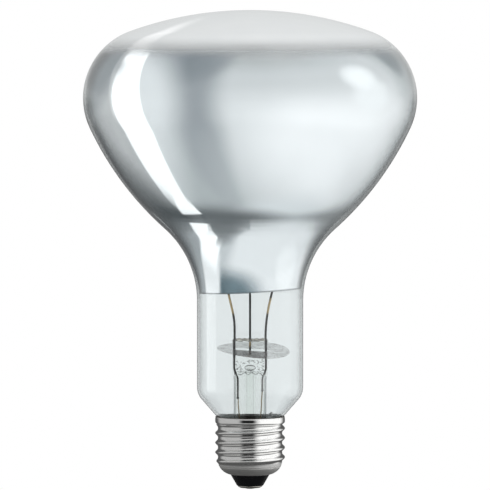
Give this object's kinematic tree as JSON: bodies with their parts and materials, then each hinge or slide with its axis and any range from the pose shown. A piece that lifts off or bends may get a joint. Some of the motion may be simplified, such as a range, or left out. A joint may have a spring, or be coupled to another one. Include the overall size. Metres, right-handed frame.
{
  "type": "infrared heat lamp bulb",
  "caption": "Blown glass reflector bulb, silvered inside with a clear front dome, on a rolled screw cap; a coiled filament on a glass stem gives radiant heat.",
  "frame": {"origin": "tip of the centre contact, on the lamp's axis", "axes": "+Z along the axis from the cap to the front dome, -Y towards the side that the picture shows, +X to its right"},
  "size_m": [0.125, 0.125, 0.1796],
  "materials": {
    "bulb_glass": "clear polished glass, softly frosted inside the front dome",
    "silver_film": "vacuum deposited mirror film",
    "stem_glass": "clear fire-polished glass",
    "mica": "glossy translucent sheet",
    "nickel_wire": "drawn nickel-plated wire",
    "seal_wire": "dull copper-sheathed wire",
    "copper_wire": "drawn copper wire",
    "tungsten": "grey drawn tungsten",
    "cement": "matte baked cement",
    "cap_metal": "bright nickel-plated sheet",
    "black_glass": "glossy black insulating glass",
    "contact_metal": "tinned brass",
    "solder": "satin soft solder"
  },
  "bodies": {
    "root": {"glass_envelope": "bulb_glass", "mirror_coating": "silver_film", "stem": "stem_glass", "exhaust_tube": "stem_glass", "mica_disc": "mica", "left_inner_lead": "nickel_wire", "right_inner_lead": "nickel_wire", "left_seal_wire": "seal_wire", "right_seal_wire": "seal_wire", "left_outer_lead": "copper_wire", "right_outer_lead": "copper_wire", "centre_support": "nickel_wire", "filament": "tungsten", "basing_cement": "cement", "cap_shell": "cap_metal", "cap_insulator": "black_glass", "contact_plate": "contact_metal", "centre_solder": "solder", "side_solder": "solder"}
  },
  "joints": []
}
